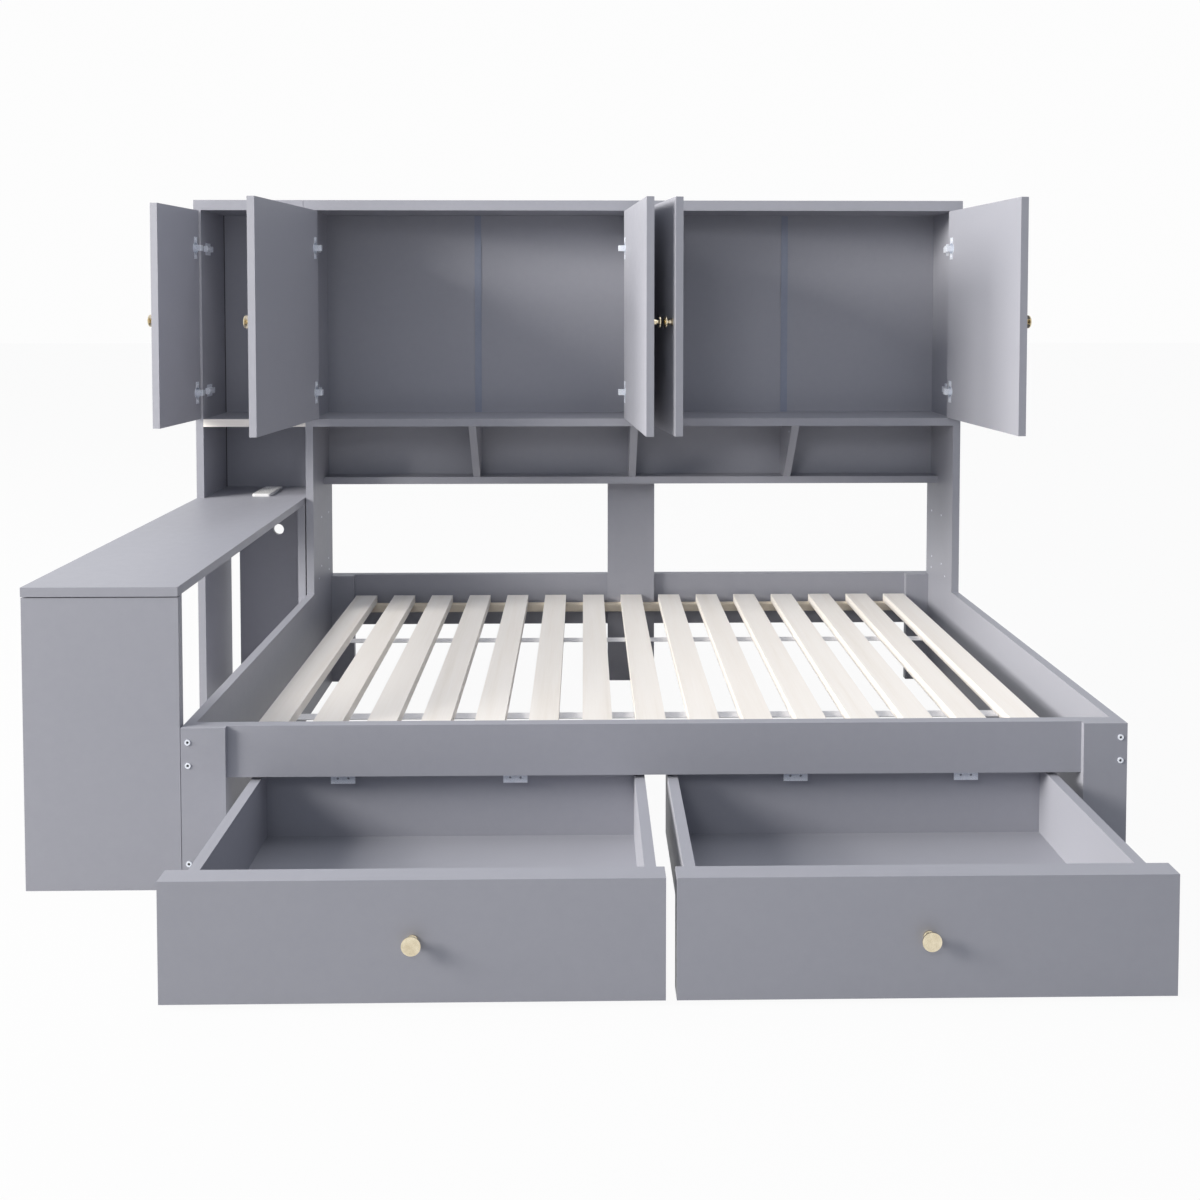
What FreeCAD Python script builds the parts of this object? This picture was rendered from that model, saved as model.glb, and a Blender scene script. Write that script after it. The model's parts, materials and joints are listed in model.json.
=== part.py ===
import FreeCAD, Part
import os

from FreeCAD import Vector

os.makedirs("parts", exist_ok=True)

# Frame: millimetres, X along the bed, front faces -Y, Z up, origin on the floor
# under the middle of the centre back board.

# Board stock
BOARD = 22.0
SHEET = 5.0
SKIN = 0.3

# Bed base in plan
INNER_LENGTH = 1931.0
INNER_DEPTH = 1249.0
IN_X = INNER_LENGTH / 2
OUT_X = IN_X + BOARD
BACK_Y = BOARD / 2
BACK_FRONT_Y = BACK_Y - BOARD
POST_DEEP = 35.0
POST_WIDE = 92.0
POST_BACK_Y = BACK_FRONT_Y - INNER_DEPTH
FRONT_Y = POST_BACK_Y - POST_DEEP
POST_IN_X = OUT_X - POST_WIDE
RAIL_DEEP = 23.0
RAIL_FRONT_Y = POST_BACK_Y - RAIL_DEEP

# Bed base heights
BASE_TOP = 343.6
RAIL_TALL = 108.4
RAIL_FOOT = BASE_TOP - RAIL_TALL
BACK_RAIL_TALL = 163.0
BACK_POST_WIDE = 94.0

# Slats and what carries them
SLAT_COUNT = 15
SLAT_MARGIN = 80.8
SLAT_WIDE = 67.0
SLAT_PITCH = (INNER_LENGTH - 2 * SLAT_MARGIN - SLAT_WIDE) / (SLAT_COUNT - 1)
SLAT_TOP = 281.0
SLAT_THICK = 24.0
SLAT_FOOT = SLAT_TOP - SLAT_THICK
SLAT_GAP = 1.0
LEDGER = 25.0
STRAP_WIDE = 36.0
STRAP_THICK = 1.6
STRAP_FROM_FRONT = 259.0
STRAP_FROM_BACK = 403.0
STRAP_YS = (POST_BACK_Y + STRAP_FROM_FRONT, BACK_FRONT_Y - STRAP_FROM_BACK)

# Bridge cabinet over the back half
CAB_DEEP = 249.0
CAB_FRONT_Y = BACK_Y - CAB_DEEP
SHEET_INSET = 40.0
SHEET_Y = BACK_Y - SHEET_INSET
TOP_Z = 1529.7
TOP_THICK = 30.0
TOP_UNDER = TOP_Z - TOP_THICK
CAB_FLOOR_TOP = 875.0
CAB_FLOOR_THICK = 22.8
CAB_FLOOR_UNDER = CAB_FLOOR_TOP - CAB_FLOOR_THICK
SHELF_DEEP = 108.0
SHELF_FRONT_Y = BACK_Y - SHELF_DEEP
SHELF_TOP = 677.4
SHELF_UNDER = SHELF_TOP - BOARD
DIVIDER_SHARE = 0.5054
DIVIDER_X = DIVIDER_SHARE * IN_X
DIVIDER_SETBACK = 2.0
DIVIDER_TOP_Y = CAB_FRONT_Y + DIVIDER_SETBACK
DIVIDER_FOOT_Y = SHELF_FRONT_Y + DIVIDER_SETBACK
CENTRE_BOARD_WIDE = 150.0

# Sheets and the strips that join them
SHEET_SEAM = 2.0
STRIP_WIDE = 21.0
STRIP_PROUD = 2.0
TOWER_SHEET_GAP = 3.0
SHEET_LIP = 2.0

# Tower and desk on the left
DESK_WIDE = 323.0
DESK_BED_GAP = 3.5
DESK_RIGHT_X = -OUT_X - DESK_BED_GAP
DESK_LEFT_X = DESK_RIGHT_X - DESK_WIDE
DESK_SETBACK = 3.6
DESK_FRONT_Y = FRONT_Y + DESK_SETBACK
DESK_TOP = 637.6
DESK_THICK = 19.6
DESK_UNDER = DESK_TOP - DESK_THICK
DESK_PANEL_SETBACK = 2.0
DESK_PANEL_GAP = 2.5
DESK_PANEL_TONGUE = 12.0
TOWER_IN_X = DESK_LEFT_X + BOARD
TOWER_TOP_SEAM = 1.0
STILE_WIDE = 40.5
CABLE_GAP = 34.0
DESK_BACK_LEFT_X = TOWER_IN_X + CABLE_GAP
DESK_BACK_THICK = 16.0
HOLE_FROM_LEG = 120.5
HOLE_X = DESK_RIGHT_X - BOARD - HOLE_FROM_LEG
HOLE_DROP = 122.0
HOLE_Z = DESK_UNDER - HOLE_DROP
HOLE_R = 17.4

# Power outlet on the desk
OUTLET_FROM_BRIDGE = 142.0
OUTLET_FROM_SHEET = 115.0
OUTLET_X = -OUT_X - OUTLET_FROM_BRIDGE
OUTLET_Y = SHEET_Y - OUTLET_FROM_SHEET
OUTLET_WIDE = 54.0
OUTLET_LONG = 136.0
OUTLET_TALL = 8.0
OUTLET_CORNER = 6.0
OUTLET_EDGE = 1.5
SOCKET_R = 18.0
SOCKET_DEEP = 3.0
SOCKET_OFFSET = 42.0
PORT_WIDE = 12.5
PORT_LONG = 5.5
PORT_DEEP = 4.0
PORT_STEP = 9.0

# Doors
DOOR_GAP = 2.0
DOOR_MID_GAP = 4.0
DOOR_THICK = 20.0
DOOR_BOTTOM = CAB_FLOOR_TOP + DOOR_GAP
DOOR_TOP = TOP_UNDER - DOOR_GAP
WIDE_BAY = IN_X - BOARD / 2
WIDE_DOOR = (WIDE_BAY - 2 * DOOR_GAP - DOOR_MID_GAP) / 2
NARROW_DOOR = -OUT_X - STILE_WIDE - TOWER_IN_X - 2 * DOOR_GAP

# Hinge lines, in from the wall and back from the cabinet front
WIDE_PIVOT = (1.0, 0.5)
NARROW_PIVOT = (-14.4, 7.2)

# Hinge wall, side the door lies on, width, angle in the photograph and hinge line
DOORS = {
    "door_1": (TOWER_IN_X, 1, NARROW_DOOR, 95.4, NARROW_PIVOT),
    "door_2": (-IN_X, 1, WIDE_DOOR, 96.0, WIDE_PIVOT),
    "door_3": (-BOARD / 2, -1, WIDE_DOOR, 95.0, WIDE_PIVOT),
    "door_4": (BOARD / 2, 1, WIDE_DOOR, 81.0, WIDE_PIVOT),
    "door_5": (IN_X, -1, WIDE_DOOR, 94.0, WIDE_PIVOT),
}

# Concealed hinges
HINGE_FROM_BOTTOM = 80.4
HINGE_FROM_TOP = 112.0
HINGE_ZS = (DOOR_BOTTOM + HINGE_FROM_BOTTOM, DOOR_TOP - HINGE_FROM_TOP)
CUP_R = 17.4
CUP_WALL = 1.4
CUP_DEEP = 11.5
CUP_FLOOR = 1.2
CUP_CENTRE = 22.5
CUP_CLEAR = 0.1
FLANGE_THICK = 1.2
FLANGE_TALL = 65.0
FLANGE_WIDE = 18.0
LINK_HALF = 7.5
LINK_HALF_TALL = 8.5
LINK_OUT = 19.5
ARM_FRONT = 22.6
ARM_BODY = 12.0
ARM_BACK = 78.0
ARM_HALF_TALL = 8.5
ARM_PLATE = 2.0
ARM_PLATE_HALF_TALL = 18.0
ARM_PLATE_FRONT = 38.0
ARM_EDGE = 1.0

# Knobs
KNOB_R = 17.0
KNOB_OUT = 24.9
KNOB_BASE_R = 10.0
KNOB_BASE = 3.0
KNOB_NECK_R = 7.5
KNOB_NECK_OUT = 10.5
KNOB_WAIST_R = 5.0
KNOB_SLOPE = 1.5
KNOB_RIM = 18.0
KNOB_RIM_TOP = 20.3
KNOB_FLAT_R = 2.0
KNOB_CROWN_R = 12.0
KNOB_CROWN_OUT = 22.75
KNOB_INSET = 35.0
KNOB_UP = 297.0
KNOB_Z = DOOR_BOTTOM + KNOB_UP
STUD_R = 2.4
STUD_LONG = 12.0
STUD_CLEAR = 0.1

# Drawers, drawn out as in the photograph
DRAWER_SIDE_GAP = 6.5
DRAWER_MID_GAP = 19.0
DRAWER_OUT_X = POST_IN_X - DRAWER_SIDE_GAP
DRAWER_IN_X = DRAWER_MID_GAP / 2
DRAWER_PULL = 393.0
DRAWER_FRONT_Y = FRONT_Y - DRAWER_PULL
DRAWER_FRONT_THICK = 40.0
DRAWER_FRONT_BACK_Y = DRAWER_FRONT_Y + DRAWER_FRONT_THICK
DRAWER_FOOT = 10.0
DRAWER_RAIL_GAP = 8.2
DRAWER_TOP = RAIL_FOOT - DRAWER_RAIL_GAP
DRAWER_BOX_FOOT = 80.0
DRAWER_WALL = 21.0
DRAWER_NEAR_INSET = 14.8
DRAWER_FAR_INSET = 40.0
DRAWER_DEEP = 412.0
DRAWER_BACK_IN_Y = DRAWER_FRONT_BACK_Y + DRAWER_DEEP
DRAWER_BACK_OUT_Y = DRAWER_BACK_IN_Y + DRAWER_WALL
DRAWER_BOTTOM_THICK = 5.0
DRAWER_KNOB_UP = 111.0
DRAWER_KNOB_Z = DRAWER_FOOT + DRAWER_KNOB_UP

# Casters
WHEEL_R = 25.0
WHEEL_WIDE = 18.0
WHEEL_EDGE = 2.5
WHEEL_HUB_R = 9.0
WHEEL_HUB_OUT = 1.5
AXLE_R = 3.0
AXLE_CLEAR = 0.06
FORK_GAP = 2.5
FORK_CHEEK = 2.0
FORK_HALF = 12.0
FORK_PLATE = 3.0
FORK_PLATE_HALF = 24.0
FORK_FOOT = 17.0
CASTER_INSET = 60.0
CASTER_FRONT = 60.0
CASTER_REAR = 50.0

# Drawer stops
STOP_SHARES = (0.327, 0.74)
STOP_WIDE = 51.0
STOP_THICK = 2.0
STOP_TALL = 25.2
STOP_FLANGE = 24.0
STOP_HOLE_R = 2.6
STOP_HOLE_STEP = 11.0
STOP_HOLE_DROP = 14.2

# Bolts and screws that show
BOLT_INSET = 14.5
BOLT_X = OUT_X - BOLT_INSET
BOLT_UP = 58.0
BOLT_DROPS = (78.3, 29.5)
BOLT_HEAD_R = 6.0
BOLT_HEAD = 1.8
BOLT_SOCKET_R = 3.0
BOLT_SOCKET = 1.4
SCREW_R = 3.0
SCREW_HEAD = 0.5
SCREW_SHARES = ((0.205, 0.684), (0.586, 0.693), (0.225, 0.216), (0.606, 0.206), (0.205, 0.098), (0.743, 0.107))
CAM_SHARES = (0.249, 0.803)
CAM_DROP = 23.0


def box(x0, x1, y0, y1, z0, z1):
    corner = Vector(min(x0, x1), min(y0, y1), min(z0, z1))
    return Part.makeBox(abs(x1 - x0), abs(y1 - y0), abs(z1 - z0), corner)


def rod(x, y, z, radius, length, axis):
    return Part.makeCylinder(radius, length, Vector(x, y, z), axis)


def both_sides(make):
    return [make(-1), make(1)]


def export(node, solids):
    if len(solids) == 1:
        shape = solids[0]
    else:
        shape = Part.makeCompound(solids)
    shape.exportStep("parts/" + node + ".step")


X_AXIS = Vector(1, 0, 0)
Y_AXIS = Vector(0, 1, 0)
Z_AXIS = Vector(0, 0, 1)
FRONT_AXIS = Vector(0, -1, 0)


# Bed base
def front_post(side):
    return box(side * POST_IN_X, side * OUT_X, FRONT_Y, POST_BACK_Y, 0, BASE_TOP)


def side_panel(side):
    return box(side * IN_X, side * OUT_X, POST_BACK_Y, BACK_FRONT_Y, 0, BASE_TOP)


def back_post(side):
    inner = OUT_X - BACK_POST_WIDE
    return box(side * inner, side * OUT_X, BACK_FRONT_Y, BACK_Y, 0, BASE_TOP)


export("front_posts", both_sides(front_post))
export("front_rail", [box(-POST_IN_X, POST_IN_X, RAIL_FRONT_Y, POST_BACK_Y, RAIL_FOOT, BASE_TOP)])
export("side_panel_left", [side_panel(-1)])
export("side_panel_right", [side_panel(1)])
export("back_posts", both_sides(back_post))
export("back_rail", [box(-OUT_X, OUT_X, BACK_Y, BACK_Y + BOARD, BASE_TOP - BACK_RAIL_TALL, BASE_TOP)])
half_centre = CENTRE_BOARD_WIDE / 2
export("centre_back_board", [box(-half_centre, half_centre, BACK_FRONT_Y, BACK_Y, 0, SHELF_UNDER)])

# Slats, ledgers and straps
ledgers = [
    box(-IN_X, IN_X, POST_BACK_Y, POST_BACK_Y + LEDGER, RAIL_FOOT, SLAT_FOOT),
    box(-IN_X, IN_X, BACK_FRONT_Y - LEDGER, BACK_FRONT_Y, SLAT_FOOT - LEDGER, SLAT_FOOT),
]
export("slat_ledgers", ledgers)

slats = []
for index in range(SLAT_COUNT):
    middle = (index - (SLAT_COUNT - 1) / 2) * SLAT_PITCH
    left = middle - SLAT_WIDE / 2
    slats.append(box(left, left + SLAT_WIDE, POST_BACK_Y + SLAT_GAP, BACK_FRONT_Y - SLAT_GAP, SLAT_FOOT, SLAT_TOP))
export("slats", slats)

strap_end = (SLAT_COUNT - 1) / 2 * SLAT_PITCH + SLAT_WIDE / 2
straps = []
for middle in STRAP_YS:
    front = middle - STRAP_WIDE / 2
    straps.append(box(-strap_end, strap_end, front, front + STRAP_WIDE, SLAT_FOOT - STRAP_THICK, SLAT_FOOT))
export("slat_straps", straps)


# Bolt heads on the front posts, screw heads and cam covers on the bridge
def bolt_head(x, z):
    head = rod(x, FRONT_Y, z, BOLT_HEAD_R, BOLT_HEAD, FRONT_AXIS)
    socket = rod(x, FRONT_Y - BOLT_HEAD + BOLT_SOCKET, z, BOLT_SOCKET_R, BOLT_HEAD, FRONT_AXIS)
    return head.cut(socket)


fixings = []
for z in [BOLT_UP] + [BASE_TOP - drop for drop in BOLT_DROPS]:
    fixings.append(bolt_head(-BOLT_X, z))
    fixings.append(bolt_head(BOLT_X, z))
for deep, tall in SCREW_SHARES:
    y = BACK_Y - deep * CAB_DEEP
    z = BASE_TOP + tall * (SHELF_UNDER - BASE_TOP)
    fixings.append(rod(-IN_X, y, z, SCREW_R, SCREW_HEAD, X_AXIS))
    fixings.append(rod(IN_X, y, z, SCREW_R, SCREW_HEAD, -X_AXIS))
for deep in CAM_SHARES:
    y = BACK_Y - deep * CAB_DEEP
    fixings.append(rod(DIVIDER_X - BOARD / 2, y, CAB_FLOOR_UNDER - CAM_DROP, SCREW_R, SCREW_HEAD, -X_AXIS))
export("frame_bolts", fixings)


# Steel angles under the front ledger that stop the drawers
def stop_plate(x):
    left = x - STOP_WIDE / 2
    foot = RAIL_FOOT - STOP_TALL
    hole_z = RAIL_FOOT - STOP_HOLE_DROP
    plate = box(left, left + STOP_WIDE, POST_BACK_Y, POST_BACK_Y + STOP_THICK, foot, RAIL_FOOT)
    flange = box(left, left + STOP_WIDE, POST_BACK_Y, POST_BACK_Y + STOP_FLANGE, RAIL_FOOT - STOP_THICK, RAIL_FOOT)
    plate = plate.fuse(flange)
    for offset in (-STOP_HOLE_STEP, STOP_HOLE_STEP):
        plate = plate.cut(rod(x + offset, POST_BACK_Y - STOP_THICK, hole_z, STOP_HOLE_R, 3 * STOP_THICK, Y_AXIS))
    return plate


stops = []
for share in STOP_SHARES:
    x = DRAWER_IN_X + share * (DRAWER_OUT_X - DRAWER_IN_X)
    stops.append(stop_plate(-x))
    stops.append(stop_plate(x))
export("drawer_stops", stops)


# Bridge cabinet
def bridge_side(side):
    return box(side * IN_X, side * OUT_X, CAB_FRONT_Y, BACK_Y, BASE_TOP, TOP_Z)


export("bridge_side_left", [bridge_side(-1)])
export("bridge_side_right", [bridge_side(1)])
export("mid_panel", [box(-BOARD / 2, BOARD / 2, CAB_FRONT_Y, SHEET_Y, CAB_FLOOR_TOP, TOP_UNDER)])
export("top_board", [box(-IN_X, IN_X, CAB_FRONT_Y, BACK_Y, TOP_UNDER, TOP_Z)])
export("floor_board", [box(-IN_X, IN_X, CAB_FRONT_Y, SHEET_Y, CAB_FLOOR_UNDER, CAB_FLOOR_TOP)])
export("lower_shelf", [box(-IN_X, IN_X, SHELF_FRONT_Y, BACK_Y, SHELF_UNDER, SHELF_TOP)])


def divider(x):
    left = x - BOARD / 2
    outline = Part.makePolygon([
        Vector(left, DIVIDER_FOOT_Y, SHELF_TOP),
        Vector(left, DIVIDER_TOP_Y, CAB_FLOOR_UNDER),
        Vector(left, SHEET_Y, CAB_FLOOR_UNDER),
        Vector(left, SHEET_Y, SHELF_TOP),
        Vector(left, DIVIDER_FOOT_Y, SHELF_TOP),
    ])
    return Part.Face(outline).extrude(Vector(BOARD, 0, 0))


export("shelf_dividers", [divider(-DIVIDER_X), divider(0), divider(DIVIDER_X)])

sheet_back = SHEET_Y + SHEET
half_seam = SHEET_SEAM / 2
tower_sheet = box(TOWER_IN_X + TOWER_SHEET_GAP, -OUT_X, SHEET_Y, sheet_back, DESK_TOP, TOP_UNDER)
tower_lip = box(TOWER_IN_X, -OUT_X, sheet_back - SHEET_LIP, sheet_back, DESK_TOP, TOP_UNDER)
sheets = [
    box(-IN_X, -DIVIDER_X - half_seam, SHEET_Y, sheet_back, SHELF_TOP, TOP_UNDER),
    box(-DIVIDER_X + half_seam, DIVIDER_X - half_seam, SHEET_Y, sheet_back, SHELF_TOP, TOP_UNDER),
    box(DIVIDER_X + half_seam, IN_X, SHEET_Y, sheet_back, SHELF_TOP, TOP_UNDER),
    tower_sheet.fuse(tower_lip).removeSplitter(),
]
export("back_sheets", sheets)


def back_strip(x):
    left = x - STRIP_WIDE / 2
    face = box(left, left + STRIP_WIDE, SHEET_Y - STRIP_PROUD, SHEET_Y, CAB_FLOOR_TOP, TOP_UNDER)
    web = box(x - half_seam, x + half_seam, SHEET_Y, sheet_back, CAB_FLOOR_TOP, TOP_UNDER)
    return face.fuse(web)


export("back_strips", [back_strip(-DIVIDER_X), back_strip(DIVIDER_X)])

# Tower over the desk
export("tower_side_panel", [box(DESK_LEFT_X, TOWER_IN_X, CAB_FRONT_Y, BACK_Y, DESK_TOP, TOP_Z)])
export("tower_top", [box(TOWER_IN_X, -OUT_X - TOWER_TOP_SEAM, CAB_FRONT_Y, BACK_Y, TOP_UNDER, TOP_Z)])
export("tower_stile", [box(-OUT_X - STILE_WIDE, -OUT_X, CAB_FRONT_Y, CAB_FRONT_Y + BOARD, CAB_FLOOR_TOP, TOP_UNDER)])
export("tower_shelf", [box(TOWER_IN_X, -OUT_X, CAB_FRONT_Y, SHEET_Y, CAB_FLOOR_UNDER, CAB_FLOOR_TOP)])

# Desk
export("desk_top", [box(DESK_LEFT_X, DESK_RIGHT_X, DESK_FRONT_Y, BACK_Y, DESK_UNDER, DESK_TOP)])
panel_y = DESK_FRONT_Y + DESK_PANEL_SETBACK
panel = box(DESK_LEFT_X, DESK_RIGHT_X, panel_y, panel_y + BOARD, 0, DESK_UNDER)
groove = box(DESK_LEFT_X, DESK_RIGHT_X, panel_y, panel_y + BOARD - DESK_PANEL_TONGUE,
             DESK_UNDER - DESK_PANEL_GAP, DESK_UNDER)
export("desk_front_panel", [panel.cut(groove)])
legs = [
    box(DESK_LEFT_X, TOWER_IN_X, CAB_FRONT_Y, BACK_Y, 0, DESK_UNDER),
    box(DESK_RIGHT_X - BOARD, DESK_RIGHT_X, CAB_FRONT_Y, BACK_Y, 0, DESK_UNDER),
]
export("desk_legs", legs)
board = box(DESK_BACK_LEFT_X, DESK_RIGHT_X - BOARD, BACK_FRONT_Y, BACK_FRONT_Y + DESK_BACK_THICK, 0, DESK_UNDER)
hole = rod(HOLE_X, BACK_FRONT_Y - SHEET, HOLE_Z, HOLE_R, DESK_BACK_THICK + 2 * SHEET, Y_AXIS)
export("desk_back_board", [board.cut(hole)])

# Outlet with one round socket and two slots
left = OUTLET_X - OUTLET_WIDE / 2
front = OUTLET_Y - OUTLET_LONG / 2
outlet_top = DESK_TOP + OUTLET_TALL
outlet = box(left, left + OUTLET_WIDE, front, front + OUTLET_LONG, DESK_TOP, outlet_top)
upright = [e for e in outlet.Edges if abs(e.Vertexes[0].Z - e.Vertexes[-1].Z) > OUTLET_TALL / 2]
outlet = outlet.makeFillet(OUTLET_CORNER, upright)
rim = [e for e in outlet.Edges if min(v.Z for v in e.Vertexes) > outlet_top - SKIN]
outlet = outlet.makeFillet(OUTLET_EDGE, rim)
outlet = outlet.cut(rod(OUTLET_X, OUTLET_Y + SOCKET_OFFSET, outlet_top - SOCKET_DEEP, SOCKET_R, OUTLET_TALL, Z_AXIS))
for step in (1, 2):
    slot_y = OUTLET_Y - step * 2 * PORT_STEP
    outlet = outlet.cut(box(OUTLET_X - PORT_WIDE / 2, OUTLET_X + PORT_WIDE / 2, slot_y, slot_y + PORT_LONG,
                            outlet_top - PORT_DEEP, outlet_top + PORT_DEEP))
export("power_outlet", [outlet])


# Knob of revolution, its base on a face at y and pointing to the front
def knob(x, y, z):
    profile = [
        Vector(0, STUD_LONG, 0),
        Vector(STUD_R, STUD_LONG, 0),
        Vector(STUD_R, 0, 0),
        Vector(KNOB_BASE_R, 0, 0),
        Vector(KNOB_BASE_R, -KNOB_BASE, 0),
        Vector(KNOB_NECK_R, -KNOB_BASE - KNOB_SLOPE, 0),
        Vector(KNOB_NECK_R, -KNOB_NECK_OUT, 0),
        Vector(KNOB_WAIST_R, -KNOB_NECK_OUT - KNOB_SLOPE, 0),
        Vector(KNOB_WAIST_R, -KNOB_RIM + 2 * KNOB_SLOPE, 0),
        Vector(KNOB_R, -KNOB_RIM, 0),
        Vector(KNOB_R, -KNOB_RIM_TOP, 0),
    ]
    tip = Vector(KNOB_FLAT_R, -KNOB_OUT, 0)
    centre = Vector(0, -KNOB_OUT, 0)
    edges = [Part.makeLine(a, b) for a, b in zip(profile[:-1], profile[1:])]
    edges.append(Part.Arc(profile[-1], Vector(KNOB_CROWN_R, -KNOB_CROWN_OUT, 0), tip).toShape())
    edges.append(Part.makeLine(tip, centre))
    edges.append(Part.makeLine(centre, profile[0]))
    solid = Part.Face(Part.Wire(edges)).revolve(Vector(0, 0, 0), Y_AXIS, 360)
    solid.translate(Vector(x, y, z))
    return solid


def stud_hole(x, y, z):
    return rod(x, y, z, STUD_R + STUD_CLEAR, STUD_LONG + STUD_CLEAR, Y_AXIS)


# Doors are built shut, then turned about their pivots
def hinge_cup(wall, side, z):
    face_y = CAB_FRONT_Y + DOOR_THICK
    x = wall + side * (DOOR_GAP + CUP_CENTRE)
    plate = box(x - FLANGE_WIDE / 2, x + FLANGE_WIDE / 2, face_y, face_y + FLANGE_THICK,
                z - FLANGE_TALL / 2, z + FLANGE_TALL / 2)
    cup = rod(x, face_y - CUP_DEEP, z, CUP_R, CUP_DEEP + FLANGE_THICK, Y_AXIS)
    recess = rod(x, face_y - CUP_DEEP + CUP_FLOOR, z, CUP_R - CUP_WALL, CUP_DEEP + FLANGE_THICK, Y_AXIS)
    link = box(x - LINK_HALF, x + LINK_HALF, face_y - CUP_DEEP, face_y + LINK_OUT,
               z - LINK_HALF_TALL, z + LINK_HALF_TALL)
    link = link.makeFillet(ARM_EDGE, [e for e in link.Edges if min(v.Y for v in e.Vertexes) > face_y])
    return plate.fuse(cup).cut(recess).fuse(link)


def hinge_arm(wall, side, z):
    y = CAB_FRONT_Y
    plate = box(wall, wall + side * ARM_PLATE, y + ARM_PLATE_FRONT, y + ARM_BACK,
                z - ARM_PLATE_HALF_TALL, z + ARM_PLATE_HALF_TALL)
    arm = box(wall, wall + side * ARM_BODY, y + ARM_FRONT, y + ARM_BACK - 2 * ARM_PLATE,
              z - ARM_HALF_TALL, z + ARM_HALF_TALL)
    arm = arm.makeFillet(ARM_EDGE, [e for e in arm.Edges if abs(e.Vertexes[0].X - wall) > SKIN
                                    and abs(e.Vertexes[-1].X - wall) > SKIN])
    return arm.fuse(plate)


def swing(shape, wall, side, angle, pivot):
    pivot_in, pivot_back = pivot
    shape.rotate(Vector(wall + side * pivot_in, CAB_FRONT_Y + pivot_back, 0), Z_AXIS, -side * angle)
    return shape


arms = []
for name, (wall, side, width, angle, pivot) in DOORS.items():
    near = wall + side * DOOR_GAP
    far = near + side * width
    leaf = box(near, far, CAB_FRONT_Y, CAB_FRONT_Y + DOOR_THICK, DOOR_BOTTOM, DOOR_TOP)
    knob_x = far - side * KNOB_INSET
    leaf = leaf.cut(stud_hole(knob_x, CAB_FRONT_Y, KNOB_Z))
    cups = []
    for z in HINGE_ZS:
        cup_x = wall + side * (DOOR_GAP + CUP_CENTRE)
        seat = rod(cup_x, CAB_FRONT_Y + DOOR_THICK - CUP_DEEP - CUP_CLEAR, z, CUP_R + CUP_CLEAR, CUP_DEEP * 2, Y_AXIS)
        leaf = leaf.cut(seat)
        cups.append(swing(hinge_cup(wall, side, z), wall, side, angle, pivot))
        arms.append(hinge_arm(wall, side, z))
    number = name[-1]
    export(name, [swing(leaf, wall, side, angle, pivot)])
    export("door_knob_" + number, [swing(knob(knob_x, CAB_FRONT_Y, KNOB_Z), wall, side, angle, pivot)])
    export("hinge_cups_" + number, cups)
export("hinge_arms", arms)


# Casters under the drawers
def wheel(x, y):
    start = x - WHEEL_WIDE / 2
    tread = rod(start, y, WHEEL_R, WHEEL_R, WHEEL_WIDE, X_AXIS)
    tread = tread.makeFillet(WHEEL_EDGE, tread.Edges)
    hub = rod(start - WHEEL_HUB_OUT, y, WHEEL_R, WHEEL_HUB_R, WHEEL_WIDE + 2 * WHEEL_HUB_OUT, X_AXIS)
    bore = rod(start - FORK_GAP, y, WHEEL_R, AXLE_R + AXLE_CLEAR, WHEEL_WIDE + 2 * FORK_GAP, X_AXIS)
    return tread.fuse(hub).cut(bore)


def fork(x, y):
    inner = WHEEL_WIDE / 2 + FORK_GAP
    outer = inner + FORK_CHEEK
    top = DRAWER_BOX_FOOT
    half = FORK_PLATE_HALF
    body = box(x - half, x + half, y - half, y + half, top - FORK_PLATE, top)
    for start in (x - outer, x + inner):
        cheek = box(start, start + FORK_CHEEK, y - FORK_HALF, y + FORK_HALF, FORK_FOOT, top - FORK_PLATE)
        body = body.fuse(cheek)
    axle = rod(x - outer, y, WHEEL_R, AXLE_R, 2 * outer, X_AXIS)
    return body.fuse(axle)


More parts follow.
